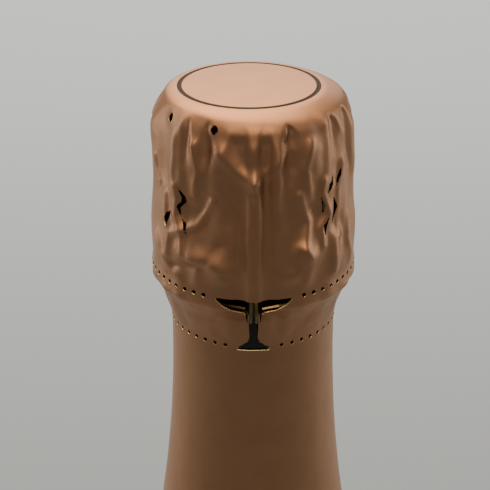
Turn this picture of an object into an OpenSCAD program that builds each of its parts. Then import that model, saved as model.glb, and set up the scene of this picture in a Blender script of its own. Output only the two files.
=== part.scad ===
// Champagne bottle of 75 cl, closed with a cork, a wire cage and a foil.
// The origin is the middle of the base, +Z is up and the front of the foil faces -Y. Millimetres.

/* [Glass] */
// Diameter of the straight body
body_d = 88.2; // [82:0.2:96]
// Height of the rim above the base
glass_h = 299.5; // [288:0.5:312]
// Height at which the shoulder starts
body_h = 103; // [92:1:120]
// Thickness of the wall
wall_t = 5.1; // [4:0.1:5.8]
// Thickness of the base
base_t = 6.5; // [4:0.5:9]
// Radius of the heel
heel_r = 7; // [4:0.5:9]
// Width of the flat ring that the bottle stands on
foot_w = 3; // [2:0.5:5]
// Depth of the punt, the hollow under the base
punt_h = 30; // [18:1:36]
// Radius of the punt's rounded tip
punt_tip_r = 11; // [8:0.5:14]
// Diameter of the neck under the collar
neck_d = 29.6; // [28:0.1:31]
// Distance from the rim down to where the neck starts to widen
neck_drop = 26; // [22:0.5:32]
// Radius of the long hollow curve of the neck
neck_curve_r = 270; // [220:5:320]

/* [Mouth] */
// Diameter of the bore that holds the cork
bore_d = 18; // [17:0.1:19]
// Length of the straight bore
bore_len = 27.5; // [25:0.5:32]
// Height over which the bore opens out below that
throat_len = 14; // [10:1:20]
// Diameter of the lip
lip_d = 28.6; // [27:0.1:30]
// Height of the lip
lip_h = 4; // [3:0.1:5]
// Diameter of the groove between the lip and the collar
groove_d = 27.2; // [25.5:0.1:28]
// Diameter of the collar that the cage grips
collar_d = 33.2; // [31:0.1:35]
// Height of the collar
collar_h = 6; // [4:0.1:7]
// Distance from the rim down to the underside of the collar
collar_drop = 14; // [13:0.1:17]

/* [Wine and cork] */
// Distance from the rim down to the wine
fill_drop = 72; // [60:1:90]
// Length of the cork inside the neck
cork_in = 24; // [20:0.5:26]
// Height of the cork above the rim
cork_out = 18.2; // [15:0.1:21]
// Diameter of the cork's mushroom head
cork_head_d = 29; // [27.5:0.1:30.5]
// Thickness of each of the two whole-cork discs
cork_disc_t = 6; // [4:0.5:8]

/* [Wire cage] */
// Thickness of the plaque's sheet
plaque_t = 0.25; // [0.2:0.05:0.4]
// Height of the plaque's skirt
plaque_skirt = 3.4; // [2.5:0.1:5]
// Diameter of the plaque's raised middle
plaque_raised_d = 24.4; // [18:0.1:24.8]
// Height of the plaque's raised middle
plaque_raise = 0.9; // [0.8:0.05:1.4]
// Diameter of the four frame wires
frame_wire_d = 0.7; // [0.5:0.05:0.8]
// Diameter of the belt wire
belt_wire_d = 0.9; // [0.6:0.05:1]
// Whole turns in each twisted leg
leg_turns = 4; // [3:1:5]
// Whole turns in the loop's twisted shank
loop_turns = 3; // [2:1:4]
// Length of the loop's twisted shank
shank_len = 23; // [18:0.5:24]
// Width of the loop's eye
eye_w = 10; // [7:0.5:12]
// Height of the loop's eye
eye_h = 7.6; // [5:0.2:8]

/* [Foil] */
// Thickness of the foil
foil_t = 0.15; // [0.1:0.05:0.3]
// Length of the whole foil from top to bottom edge
foil_len = 118; // [100:1:130]
// How far the foil stands off the cage's wires
foil_ease = 0.25; // [0.2:0.05:0.6]
// How far the foil swells between the plaque and the belt
foil_swell = 0.3; // [0:0.05:0.8]
// Radius of the foil's top edge
foil_edge_r = 3; // [2.4:0.1:3.4]
// Diameter of the disc in the foil's top
foil_disc_d = 25; // [20:0.1:26]
// Rise of the disc in its middle
foil_dome = 0.4; // [0:0.1:1]
// Height of the tear band
tear_h = 10.1; // [8:0.1:12]
// Diameter of a perforation
perf_d = 0.7; // [0.4:0.05:1]
// Perforations in a full turn of the band's upper edge
perf_upper = 49; // [30:1:60]
// Perforations in a full turn of the band's lower edge
perf_lower = 42; // [30:1:60]
// Diameter of the two vent holes
vent_d = 1.2; // [0.8:0.1:2]

/* [Cut-out in the tear band] */
// Width of the cut-out's bowl
bowl_w = 12.4; // [9:0.1:15]
// Height of the cut-out's bowl
bowl_h = 2.5; // [1.5:0.1:3]
// Width of the cut-out's stem
stem_w = 1.3; // [0.8:0.1:2]
// Width of the cut-out's foot
cut_foot_w = 5.8; // [3:0.1:9]
// Height of the cut-out's foot
cut_foot_h = 2.4; // [1.5:0.1:3]

/* [Hidden] */
$fn = 96;

// Clearances
wine_gap = 0.05;   // wine to glass
cork_fit = 0.05;   // cork to bore, and cork to plaque
head_gap = 0.3;    // cork's head to the rim
wire_fit = 0.05;   // a wire to what it lies on
strand_gap = 0.04; // two twisted strands
top_gap = 0.3;     // plaque to the foil's disc
lap_gap = 0.05;    // the disc's flange to the foil that laps it
neck_gap = 0.1;    // foil to glass
tear_gap = 0.04;   // across a perforated line

// Glass
body_r = body_d / 2;
neck_r = neck_d / 2;
bore_r = bore_d / 2;
collar_r = collar_d / 2;
neck_z = glass_h - neck_drop;
collar_z = glass_h - collar_drop;
collar_top_z = collar_z + collar_h;
punt_r = body_r - heel_r - foot_w;
throat_z = glass_h - bore_len - throat_len;
fill_z = glass_h - fill_drop;
// The shoulder's arc is the one that meets both the straight body and the neck's arc smoothly.
curve_rise = neck_z - body_h;
curve_step = body_r - neck_r;
shoulder_r = (curve_rise ^ 2 + curve_step ^ 2) / (2 * curve_step) - neck_curve_r;
shoulder_c = [body_r - shoulder_r, body_h];
neck_c = [neck_r + neck_curve_r, neck_z];

// Cork
cork_r = bore_r - cork_fit;
head_r = cork_head_d / 2;
cork_bottom_z = glass_h - cork_in;
cork_top_z = glass_h + cork_out;

// Plaque
plaque_r = head_r + cork_fit + plaque_t;
plaque_edge_r = 1.2;
seat_z = cork_top_z + cork_fit + plaque_t;
plaque_top_z = seat_z + plaque_raise;
skirt_z = seat_z - plaque_skirt;

// Frame wires, each in the plane of its leg: sideways, outwards and up
strand_off = (frame_wire_d + strand_gap) / 2;
leg_r = strand_off + frame_wire_d / 2;
over_r = plaque_edge_r + wire_fit + frame_wire_d / 2;
over_c = [plaque_r - plaque_edge_r, seat_z - plaque_edge_r];
ring_q = over_c[0] - 0.35;
turn_r = 1;
leg_low_q = collar_r + wire_fit + leg_r;
twist_top_z = skirt_z - 0.5;
twist_low_z = collar_z + 1.2;
hook_r = (belt_wire_d + frame_wire_d) / 2 + wire_fit;
belt_q = leg_low_q - hook_r;
belt_z = collar_z - belt_wire_d;

// Belt wire's loop, folded up at the front
loop_off = (belt_wire_d + strand_gap) / 2;
loop_r = loop_off + belt_wire_d / 2;
shank_low_q = collar_r + wire_fit + loop_r;
shank_low_z = belt_z + 1.2;
eye_z = shank_low_z + shank_len;
eye_top_z = eye_z + eye_h;
eye_top_q = plaque_r + belt_wire_d / 2 + 0.3;
bend_r = 0.5;
bend_drop = 1.9;
root_t = 0.65;

// Foil
foil_z = plaque_top_z + top_gap + foil_t;
foil_bottom_z = foil_z - foil_len;
upper_z = belt_z + 1.3;
lower_z = upper_z - tear_h;
foil_neck_r = neck_r + neck_gap + foil_t;
disc_r = foil_disc_d / 2;
flange_w = 0.5;
ridge_ease = 0.08;
ridge_in = 0.5;
ridge_fade = 0.9;
ridge_end_z = collar_top_z + 9;
vent_drop = 2.2;
upper_plain = 31; // degrees each side of the front without perforations
lower_plain = 18;

// Points of an arc about c, from angle a to angle b
function arc(c, r, a, b, n) = [for (i = [0:n]) let (t = a + (b - a) * i / n) c + r * [cos(t), sin(t)]];

function unit(v) = v / norm(v);

function reversed(list) = [for (i = [len(list) - 1:-1:0]) list[i]];

// The arc that rounds corner q between its neighbours p and s, kept short enough for its sides
function corner(p, q, s, r, n) =
    let (u = unit(p - q), v = unit(s - q), half = acos(u * v) / 2,
         fit = min(r, 0.49 * min(norm(p - q), norm(s - q)) * tan(half)),
         c = q + unit(u + v) * fit / sin(half),
         from = q + u * fit / tan(half) - c, to = q + v * fit / tan(half) - c,
         a = atan2(from[1], from[0]), b = atan2(to[1], to[0]),
         turn = b - a > 180 ? b - a - 360 : b - a < -180 ? b - a + 360 : b - a)
    fit <= 0 ? [q] : arc(c, fit, a, a + turn, n);

// An outline from corners [x, y, radius], whose two ends stay sharp
function rounded(corners, n = 6) =
    let (last = len(corners) - 1, p = [for (c = corners) [c[0], c[1]]])
    [for (i = [0:last])
        each i == 0 || i == last || is_undef(corners[i][2]) ? [p[i]]
            : corner(p[i - 1], p[i], p[i + 1], corners[i][2], n)];

// Radius of the bottle's outside at height z, moved inwards by o
function side_r(z, o) =
    let (share = (shoulder_r - o) / (shoulder_r + neck_curve_r),
         meet_z = body_h + (neck_z - body_h) * share)
    z <= body_h ? body_r - o
        : z <= meet_z ? shoulder_c[0] + sqrt((shoulder_r - o) ^ 2 - (z - body_h) ^ 2)
        : z <= neck_z ? neck_c[0] - sqrt((neck_curve_r + o) ^ 2 - (z - neck_z) ^ 2)
        : neck_r - o;

function side_line(z0, z1, o, n) = [for (i = [0:n]) let (z = z0 + (z1 - z0) * i / n) [side_r(z, o), z]];

// The punt's profile moved up by o, from the axis out to height z0: a round tip, then a straight cone
function punt_line(o, z0) =
    let (c = [0, punt_h - punt_tip_r], out = [punt_r, 0] - c,
         normal = atan2(out[1], out[0]) + acos(punt_tip_r / norm(out)), r = punt_tip_r + o,
         x = (r - sin(normal) * (z0 - c[1])) / cos(normal))
    concat(arc(c, r, 90, normal, 8), [[x, z0]]);

// The inside of the glass from the throat down to the axis, moved inwards by o
function cavity_line(top_z, o) =
    let (punt = punt_line(base_t + o, base_t + o), floor_z = base_t + o, r = body_r - wall_t - o)
    concat(reversed(side_line(body_h, top_z, wall_t + o, 36)),
           rounded([[r, body_h - 1], [r, floor_z, 6], [punt[len(punt) - 1][0], floor_z, 6], punt[len(punt) - 2]]),
           reversed([for (i = [0:len(punt) - 3]) punt[i]]));

// Directions in the plane of angle a, where 0 is the front
function outwards(a) = [sin(a), -cos(a), 0];
function sideways(a) = [cos(a), sin(a), 0];
function place(a, p) = p[0] * sideways(a) + p[1] * outwards(a) + [0, 0, p[2]];

// How far out a leg stands at height z: upright beside the collar, then straight to the plaque's edge
function leg_q(z) =
    z <= collar_top_z ? leg_low_q
        : leg_low_q + (over_c[0] + over_r - leg_low_q) * (z - collar_top_z) / (over_c[1] - collar_top_z);

// Height of a frame wire that lies over the plaque's edge at distance q
function over_z(q) = q <= over_c[0] ? over_c[1] + over_r : over_c[1] + sqrt(over_r ^ 2 - (q - over_c[0]) ^ 2);

// One strand of a leg from the top of the cage to its hook round the belt; side is -1 or 1
function leg_strand(side) =
    let (turn_q = sqrt(ring_q ^ 2 - (strand_off + turn_r) ^ 2),
         from = acos((turn_q + turn_r - over_c[0]) / over_r),
         turns = leg_turns * 8)
    concat(
        [for (i = [0:3]) let (a = 90 * i / 3, q = turn_q + turn_r * (1 - cos(a)))
            [side * (strand_off + turn_r * (1 - sin(a))), q, over_z(q)]],
        [for (i = [1:4]) let (a = from * (1 - i / 4))
            [side * strand_off, over_c[0] + over_r * cos(a), over_c[1] + over_r * sin(a)]],
        [for (i = [0:turns]) let (a = 360 * leg_turns * i / turns,
                                 z = twist_top_z + (twist_low_z - twist_top_z) * i / turns)
            [side * strand_off * cos(a), leg_q(z) + side * strand_off * sin(a), z]],
        [for (i = [0:7]) let (a = -200 * i / 7)
            [side * strand_off, belt_q + hook_r * cos(a), belt_z + hook_r * sin(a)]]);

// A frame wire from one hook over the plaque to the next; its middle is at angle a
function frame_path(a) =
    let (turn_a = asin((strand_off + turn_r) / ring_q), steps = 8)
    concat(
        reversed([for (p = leg_strand(1)) place(a - 45, p)]),
        [for (i = [1:steps - 1]) let (b = a - 45 + turn_a + (90 - 2 * turn_a) * i / steps)
            ring_q * outwards(b) + [0, 0, over_c[1] + over_r]],
        [for (p = leg_strand(-1)) place(a + 45, p)]);

// How far out the folded loop stands at height z
function loop_q(z) =
    z <= collar_top_z ? shank_low_q
        : shank_low_q + (eye_top_q - shank_low_q) * (z - collar_top_z) / (eye_top_z - collar_top_z);

// Half of the loop from the belt up to its eye: out of the belt, round a tight bend and up the twist
function shank_strand(side) =
    let (turns = loop_turns * 8)
    concat(
        [[side * 1.5, belt_q, belt_z - 0.3], [side * 0.95, belt_q + 0.05, belt_z - 1.1]],
        [for (i = [0:4]) let (a = 180 + 45 * i)
            [side * root_t, shank_low_q - bend_r + bend_r * cos(a), belt_z - bend_drop + bend_r * sin(a)]],
        [for (i = [0:turns]) let (a = 360 * loop_turns * i / turns, z = shank_low_z + shank_len * i / turns)
            [side * loop_off * cos(a), loop_q(z) + side * loop_off * sin(a), z]]);

// The belt wire, a closed line: round the neck, up one strand, round the eye and down the other
function belt_path() =
    let (eye = rounded([[loop_off, 0], [eye_w / 2 + 0.5, eye_h, 2.4], [-eye_w / 2 - 0.5, eye_h, 2.4],
                        [-loop_off, 0]], 5),
         round_neck = [for (a = [15:7.5:180]) belt_q * outwards(a) + [0, 0, belt_z]])
    concat(
        reversed(round_neck),
        [for (p = shank_strand(1)) place(0, p)],
        [for (i = [1:len(eye) - 2]) let (z = eye_z + eye[i][1], turn = 180 * eye[i][0] / (PI * loop_q(z)))
            loop_q(z) * outwards(turn) + [0, 0, z]],
        reversed([for (p = shank_strand(-1)) place(0, p)]),
        [for (i = [0:len(round_neck) - 2]) let (p = round_neck[i]) [-p[0], p[1], p[2]]]);

// Radius of the foil's outside at height z, from the top edge down to the perforated line
function cap_r(z) =
    let (s = (foil_z - foil_edge_r - z) / (foil_z - foil_edge_r - upper_z))
    leg_q(z) + leg_r + foil_ease + foil_t + foil_swell * sin(180 * min(max(s, 0), 1));

// Radius of the foil's outside from the belt down to the neck
function band_r(z) =
    let (s = min((z - lower_z) / (belt_z + belt_wire_d / 2 - lower_z), 1))
    foil_neck_r + (cap_r(upper_z) - foil_neck_r) * max(s, 0) ^ 1.5;

// The foil cap's profile moved inwards by o, from the disc's edge to the perforated line
function cap_line(o) =
    let (edge_z = foil_z - foil_edge_r, r = cap_r(edge_z), n = 16, low = upper_z + tear_gap / 2)
    concat([[disc_r + lap_gap, foil_z - o]],
           arc([r - foil_edge_r, edge_z], foil_edge_r - o, 90, 0, 8),
           [for (i = [1:n]) let (z = edge_z + (low - edge_z) * i / n) [cap_r(z) - o, z]]);

// Shapes made from lines

module turned(line) {
    rotate_extrude() polygon(line);
}

// A sheet between an outside line and an inside line, both from top to bottom
module turned_sheet(outside, inside) {
    turned(concat(outside, reversed(inside)));
}

// A round wire along a path. Each ring's first direction is carried on from the one before, and on a
// closed path the turn that is left over is shared out among the rings.
module wire(path, d, sides, closed = false) {
    n = len(path);
    along = [for (i = [0:n - 1])
        unit(closed ? path[(i + 1) % n] - path[(i + n - 1) % n]
            : path[min(i + 1, n - 1)] - path[max(i - 1, 0)])];
    start = unit(cross(along[0], abs(along[0][2]) < 0.9 ? [0, 0, 1] : [1, 0, 0]));
    across = [for (i = 0, u = start; i <= n;
                   i = i + 1, u = let (t = along[i % n]) unit(u - t * (u * t))) u];
    left_over = closed ? atan2(cross(along[0], across[n]) * start, across[n] * start) : 0;
    rings = [for (i = [0:n - 1]) each
        let (u = across[i], v = cross(along[i], u))
        [for (k = [0:sides - 1]) let (a = 360 * k / sides + left_over * i / n)
            path[i] + d / 2 * (cos(a) * u + sin(a) * v)]];
    joined = [for (i = [0:n - (closed ? 1 : 2)], k = [0:sides - 1])
        let (a = i * sides + k, b = i * sides + (k + 1) % sides,
             c = (i + 1) % n * sides + (k + 1) % sides, e = (i + 1) % n * sides + k)
        each [[a, c, b], [a, e, c]]];
    ends = closed ? [] : concat([for (k = [1:sides - 2]) [0, k, k + 1]],
        [for (k = [1:sides - 2]) [(n - 1) * sides, (n - 1) * sides + k + 1, (n - 1) * sides + k]]);
    polyhedron(points = rings, faces = concat(joined, ends));
}

// Holes on a circle at height z, none of them within plain degrees of the front
module perforations(z, r, count, plain) {
    for (i = [0:count - 1]) {
        a = 360 * (i + 0.5) / count;
        if (a > plain && a < 360 - plain)
            rotate([0, 0, a]) translate([0, -r, z]) rotate([90, 0, 0])
                cylinder(d = perf_d, h = 3, center = true, $fn = 24);
    }
}

// The glass-shaped opening at the front of the tear band, through which the loop's root shows
module cut_out() {
    root = root_t + belt_wire_d / 2 + 0.15;
    root_low = upper_z - belt_z + bend_drop + bend_r + belt_wire_d / 2 + 0.2;
    foot_low = tear_h + 0.5;
    half = rounded([[0, 0.2], [bowl_w / 2, 0.2], [bowl_w / 2 - 0.1, -0.3, 0.3],
                    [bowl_w * 0.27, -bowl_h + 0.4, 2.5], [root + 0.3, -bowl_h - 0.1, 0.5],
                    [root, -root_low, 0.3], [stem_w / 2, -root_low - 0.5, 0.3],
                    [stem_w / 2, -foot_low + cut_foot_h, 1], [cut_foot_w / 2, -foot_low + 0.5, 0.3],
                    [cut_foot_w / 2, -foot_low], [0, -foot_low]]);
    other = [for (p = reversed(half)) [-p[0], p[1]]];
    translate([0, -neck_r / 2, upper_z]) rotate([90, 0, 0])
        linear_extrude(collar_r) polygon(concat(half, other));
}

// The room for the folded loop under the foil's front, moved outwards by o
module ridge(o, low_z) {
    r = loop_r + ridge_ease + ridge_in + o;
    translate([0, ridge_in - shank_low_q, 0])
        turned([[0, low_z], [r, low_z], [r, collar_top_z], [r - ridge_fade, ridge_end_z], [0, ridge_end_z]]);
}

// Pieces

module glass_bottle() {
    color([0.09, 0.16, 0.07]) {
        punt = punt_line(0, 0);
        under_r = belt_q - hook_r - frame_wire_d / 2 - wire_fit;
        groove_r = groove_d / 2;
        lip_r = lip_d / 2;
        outside = concat(
            [for (i = [0:len(punt) - 3]) punt[i]],
            rounded([punt[len(punt) - 2], [punt_r, 0, 1.5], [body_r - heel_r, 0]]),
            arc([body_r - heel_r, heel_r], heel_r, -80, 0, 8),
            side_line(body_h, neck_z, 0, 36),
            rounded([[neck_r, neck_z + 0.5], [neck_r, belt_z - 3, 2], [under_r, belt_z, 1],
                     [under_r, collar_z, 0.5], [collar_r, collar_z, 0.8], [collar_r, collar_top_z, 1.2],
                     [groove_r, collar_top_z + 1.4, 0.8], [groove_r, glass_h - lip_h, 0.5],
                     [lip_r, glass_h - lip_h + 0.6, 0.4], [lip_r, glass_h, 1.6], [bore_r, glass_h, 1],
                     [bore_r, glass_h - bore_len]]));
        turned(concat(outside, cavity_line(throat_z, 0)));
    }
}

module wine() {
    color([0.9, 0.8, 0.45, 0.8])
        turned(concat([[0, fill_z]], cavity_line(fill_z, wine_gap)));
}

module cork_body() {
    color([0.80, 0.66, 0.48])
        turned(concat(
            [[0, cork_bottom_z + 2 * cork_disc_t]],
            rounded([[cork_r, cork_bottom_z + 2 * cork_disc_t], [cork_r, glass_h + head_gap, 1],
                     [head_r * 0.93, glass_h + head_gap + 1, 3], [head_r, glass_h + cork_out * 0.4, 6],
                     [head_r, cork_top_z, 0.9], [0, cork_top_z]])));
}

module cork_disc(level) {
    color([0.86, 0.72, 0.52])
        translate([0, 0, cork_bottom_z + level * cork_disc_t]) cylinder(r = cork_r, h = cork_disc_t);
}

module cage_plaque() {
    function line(o) = rounded([[0, plaque_top_z - o], [plaque_raised_d / 2 - o, plaque_top_z - o, 0.4],
                                [plaque_raised_d / 2 + 0.4 - o, seat_z - o, 0.3],
                                [plaque_r - o, seat_z - o, plaque_edge_r - o], [plaque_r - o, skirt_z]]);
    color([0.83, 0.68, 0.42]) turned_sheet(line(0), line(plaque_t));
}

module cage_wire(a) {
    color([0.70, 0.58, 0.40]) wire(frame_path(a), frame_wire_d, 6);
}

module cage_belt() {
    color([0.74, 0.62, 0.42]) wire(belt_path(), belt_wire_d, 8, closed = true);
}

module foil_top_disc() {
    flange_z = foil_z - foil_t - lap_gap;
    dome_r = (disc_r ^ 2 + foil_dome ^ 2) / (2 * max(foil_dome, 0.001));
    dome = [for (i = [0:8]) let (x = disc_r * i / 8)
        [x, foil_z + sqrt(dome_r ^ 2 - x ^ 2) - dome_r + foil_dome]];
    outside = concat(dome, [[disc_r, flange_z], [disc_r + flange_w, flange_z]]);
    inside = concat([for (p = dome) [p[0] * (disc_r - foil_t) / disc_r, p[1] - foil_t]],
                    [[disc_r - foil_t, flange_z - foil_t], [disc_r + flange_w, flange_z - foil_t]]);
    color([0.85, 0.58, 0.44]) turned_sheet(outside, inside);
}

module foil_cap() {
    low_z = upper_z + tear_gap / 2;
    outside = cap_line(0);
    inside = cap_line(foil_t);
    color([0.78, 0.52, 0.40])
        difference() {
            union() {
                turned(concat([[0, low_z], [0, foil_z]], outside));
                ridge(foil_t, low_z);
            }
            turned(concat([[0, low_z - 1], [0, foil_z - foil_t]], inside,
                          [[inside[len(inside) - 1][0], low_z - 1]]));
            ridge(0, low_z - 1);
            translate([0, 0, foil_z - 1]) cylinder(r = disc_r + lap_gap, h = 2);
            perforations(upper_z, cap_r(upper_z), perf_upper, upper_plain);
            for (a = [-54, -22])
                rotate([0, 0, a]) translate([0, -cap_r(foil_z - vent_drop), foil_z - vent_drop])
                    rotate([90, 0, 0]) cylinder(d = vent_d, h = 4, center = true, $fn = 32);
        }
}

module foil_tear_band() {
    n = 10;
    z0 = upper_z - tear_gap / 2;
    z1 = lower_z + tear_gap / 2;
    heights = [for (i = [0:n]) z0 + (z1 - z0) * i / n];
    color([0.76, 0.50, 0.38])
        difference() {
            turned_sheet([for (z = heights) [band_r(z), z]], [for (z = heights) [band_r(z) - foil_t, z]]);
            cut_out();
            perforations(upper_z, band_r(upper_z), perf_upper, upper_plain);
            perforations(lower_z, band_r(lower_z), perf_lower, lower_plain);
        }
}

module foil_neck_skirt() {
    z0 = lower_z - tear_gap / 2;
    outside = concat([[foil_neck_r, z0]], reversed(side_line(foil_bottom_z, neck_z, -neck_gap - foil_t, 24)));
    inside = concat([[foil_neck_r - foil_t, z0]], reversed(side_line(foil_bottom_z, neck_z, -neck_gap, 24)));
    color([0.74, 0.49, 0.38])
        difference() {
            turned_sheet(outside, inside);
            cut_out();
            perforations(lower_z, foil_neck_r, perf_lower, lower_plain);
        }
}

glass_bottle();
wine();
cork_body();
cork_disc(1);  // cork_disc_upper
cork_disc(0);  // cork_disc_lower
cage_plaque();
cage_wire(0);  // cage_wire_front
cage_wire(90);  // cage_wire_right
cage_wire(180);  // cage_wire_back
cage_wire(270);  // cage_wire_left
cage_belt();
foil_top_disc();
foil_cap();
foil_tear_band();
foil_neck_skirt();
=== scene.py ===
"""Looks of the closed champagne bottle: creased foil, glass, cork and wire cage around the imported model.

Sizes of the foil and of patterns are in millimetres, and top_z and the studio are in metres. Angles round
the bottle are in degrees from the front (-Y) and grow towards +X. A depth is measured down from the flat
top of the foil.
"""
import logging
import math
from dataclasses import dataclass, field
from enum import Enum
from typing import Any, Sequence

import bmesh
import bpy
import numpy as np
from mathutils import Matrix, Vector, noise


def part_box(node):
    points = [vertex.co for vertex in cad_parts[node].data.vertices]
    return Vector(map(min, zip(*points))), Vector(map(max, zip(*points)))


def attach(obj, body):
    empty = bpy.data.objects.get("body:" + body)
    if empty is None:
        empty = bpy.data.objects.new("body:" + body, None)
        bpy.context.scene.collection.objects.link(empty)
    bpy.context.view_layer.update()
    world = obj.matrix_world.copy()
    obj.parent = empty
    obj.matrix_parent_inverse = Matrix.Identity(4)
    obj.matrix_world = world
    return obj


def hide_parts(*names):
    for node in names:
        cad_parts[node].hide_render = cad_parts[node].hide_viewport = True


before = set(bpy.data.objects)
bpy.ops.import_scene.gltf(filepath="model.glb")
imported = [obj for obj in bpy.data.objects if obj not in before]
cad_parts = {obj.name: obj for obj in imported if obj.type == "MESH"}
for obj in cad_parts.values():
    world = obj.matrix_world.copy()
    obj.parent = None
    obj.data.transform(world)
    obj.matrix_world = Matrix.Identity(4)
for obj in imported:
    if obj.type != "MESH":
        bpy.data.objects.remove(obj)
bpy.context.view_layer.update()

LOG = logging.getLogger("champagne_bottle")
MM = 0.001
Line = Sequence[tuple[float, float]]
# Where a form starts to come in or go, and where it has done so, in millimetres
Span = tuple[float, float]
# Further off than any place on the bottle, in millimetres
FAR = 1e9
# What the camera and most lights face, in metres
FOIL_MIDDLE = (-0.0015, 0.0, 0.2886)


class Slot(Enum):
    """The record's material slots."""

    FOIL = "foil"


class Body(Enum):
    """The bodies that pieces ride on."""

    BOTTLE = "bottle"
    FOIL = "foil"


def linear(hex_colour: str) -> tuple[float, float, float, float]:
    """Turns an sRGB hex colour into linear light.

    Args:
        hex_colour: Six hex digits after a hash sign.

    Returns:
        Red, green, blue and an alpha of one.
    """
    parts = [int(hex_colour[i:i + 2], 16) / 255 for i in (1, 3, 5)]
    r, g, b = (c / 12.92 if c <= 0.04045 else ((c + 0.055) / 1.055) ** 2.4 for c in parts)
    return r, g, b, 1.0


def smoothstep(x: np.ndarray, low: float | np.ndarray, high: float | np.ndarray) -> np.ndarray:
    """Rises smoothly from 0 where x is low to 1 where it is high."""
    t = np.clip((x - low) / (high - low), 0.0, 1.0)
    return t * t * (3 - 2 * t)


def add(tree: bpy.types.NodeTree, kind: str, settings: dict[str, Any] | None = None,
        **inputs: Any) -> bpy.types.Node:
    """Adds a node with its settings and what its inputs are fed from.

    Args:
        tree: The node tree that gets the node.
        kind: The node's type name.
        settings: Properties to set on the node.
        **inputs: Values or sockets by input name, with _ for a space, or i0, i1 for an input's place.

    Returns:
        The new node.
    """
    made = tree.nodes.new(kind)
    for name, value in (settings or {}).items():
        setattr(made, name, value)
    for name, value in inputs.items():
        socket = made.inputs[int(name[1:])] if name[0] == "i" and name[1:].isdigit() \
            else made.inputs[name.replace("_", " ")]
        if isinstance(value, bpy.types.NodeSocket):
            tree.links.new(value, socket)
        else:
            socket.default_value = value
    return made


@dataclass(frozen=True)
class Finish:
    """A finish drawn with a principled shader, with a mottled colour and a bump.

    The second colour lies in patches over the first, or is the same where the finish is even. Sizes are
    real: mottle_mm is the size of a colour patch, grain_mm that of the finest bump.
    """

    name: str
    colour: str
    second: str
    metallic: float = 0.0
    roughness: float = 0.4
    mottle_mm: float = 6.0
    grain_mm: float = 0.3
    grain_height_mm: float = 0.01
    patch_sharpness: float = 0.5
    transmission: float = 0.0
    ior: float = 1.5
    coat: float = 0.0
    stretch: tuple[float, float, float] = (1.0, 1.0, 1.0)
    roughness_spread: float = 0.08

    def make(self) -> bpy.types.Material:
        """Builds the material.

        Returns:
            The new material.
        """
        material = bpy.data.materials.new(self.name)
        material.use_nodes = True
        tree = material.node_tree
        tree.nodes.clear()
        out = add(tree, "ShaderNodeOutputMaterial")
        where = add(tree, "ShaderNodeTexCoord").outputs["Object"]
        drawn = add(tree, "ShaderNodeMapping", Vector=where, Scale=self.stretch).outputs[0]
        base, gloss = linear(self.colour), self.roughness
        if self.second != self.colour:
            patches = add(tree, "ShaderNodeTexNoise", Vector=drawn, Scale=1 / (self.mottle_mm * MM),
                          Detail=4.0)
            share = add(tree, "ShaderNodeMapRange", Value=patches.outputs["Fac"],
                        From_Min=0.5 - self.patch_sharpness / 2, From_Max=0.5 + self.patch_sharpness / 2)
            base = add(tree, "ShaderNodeMix", {"data_type": "RGBA"}, i0=share.outputs[0],
                       i6=linear(self.colour), i7=linear(self.second)).outputs[2]
        shader = add(tree, "ShaderNodeBsdfPrincipled", Metallic=self.metallic, IOR=self.ior,
                     Transmission_Weight=self.transmission, Coat_Weight=self.coat)
        grain = add(tree, "ShaderNodeTexNoise", Vector=drawn, Scale=1 / (self.grain_mm * MM), Detail=3.0)
        if self.roughness_spread:
            gloss = add(tree, "ShaderNodeMapRange", Value=grain.outputs["Fac"],
                        To_Min=max(self.roughness - self.roughness_spread, 0.02),
                        To_Max=self.roughness + self.roughness_spread).outputs[0]
        if self.grain_height_mm:
            bump = add(tree, "ShaderNodeBump", Height=grain.outputs["Fac"], Strength=1.0,
                       Distance=self.grain_height_mm * MM)
            tree.links.new(bump.outputs[0], shader.inputs["Normal"])
        for name, value in (("Base Color", base), ("Roughness", gloss)):
            if isinstance(value, bpy.types.NodeSocket):
                tree.links.new(value, shader.inputs[name])
            else:
                shader.inputs[name].default_value = value
        tree.links.new(shader.outputs[0], out.inputs[0])
        return material


# Rolled aluminium foil with a rose copper lacquer: satin, so highlights are wide, with a fine rolled grain
FOIL = Finish("rolled_foil_rose_copper_lacquer", "#bd906f", "#b68968", metallic=1.0, roughness=0.46,
              mottle_mm=5.0, grain_mm=0.16, grain_height_mm=0.006, roughness_spread=0.07)
# The foil's bare cut edge: pale gold, because the lacquer ends there
EDGE = Finish("sheared_foil_edge_pale_gold", "#e6d3a2", "#cdb67e", metallic=1.0, roughness=0.3,
              mottle_mm=1.0, grain_mm=0.2)
# Dark matt band on the line pressed into the top disc: painted shade of the groove, matt so it stays dark
# against the lacquer
RING_GROOVE_SHADE = Finish("pressed_ring_painted_groove_shade", "#2b2320", "#352b27", metallic=0.0, roughness=0.85,
                  mottle_mm=1.0, grain_mm=0.2)
# Dark green soda glass, moulded: nearly black when the wine is behind it, with a sharp gloss
GLASS = Finish("moulded_dark_green_glass", "#22301c", "#22301c", roughness=0.05, transmission=0.85,
               ior=1.52, grain_mm=9.0, grain_height_mm=0.02, roughness_spread=0.01)
# White wine: pale gold and clear
WINE = Finish("pale_gold_wine", "#d9c27a", "#d9c27a", roughness=0.02, transmission=1.0, ior=1.34,
              grain_mm=20.0, grain_height_mm=0.0, roughness_spread=0.0)
# Agglomerated cork: bonded granules about 2 mm across, ground and waxed
GRANULES = Finish("agglomerated_cork_ground", "#b98d5e", "#8c6238", roughness=0.7, mottle_mm=2.2,
                  grain_mm=0.7, grain_height_mm=0.08, patch_sharpness=0.12)
# Whole cork: warm and even, with dark pores drawn out along the bark
WHOLE_CORK = Finish("whole_cork_cut_disc", "#c89c68", "#9c7040", roughness=0.65, mottle_mm=3.0,
                    grain_mm=0.8, grain_height_mm=0.05, patch_sharpness=0.25, stretch=(1.0, 1.0, 2.5))
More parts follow.
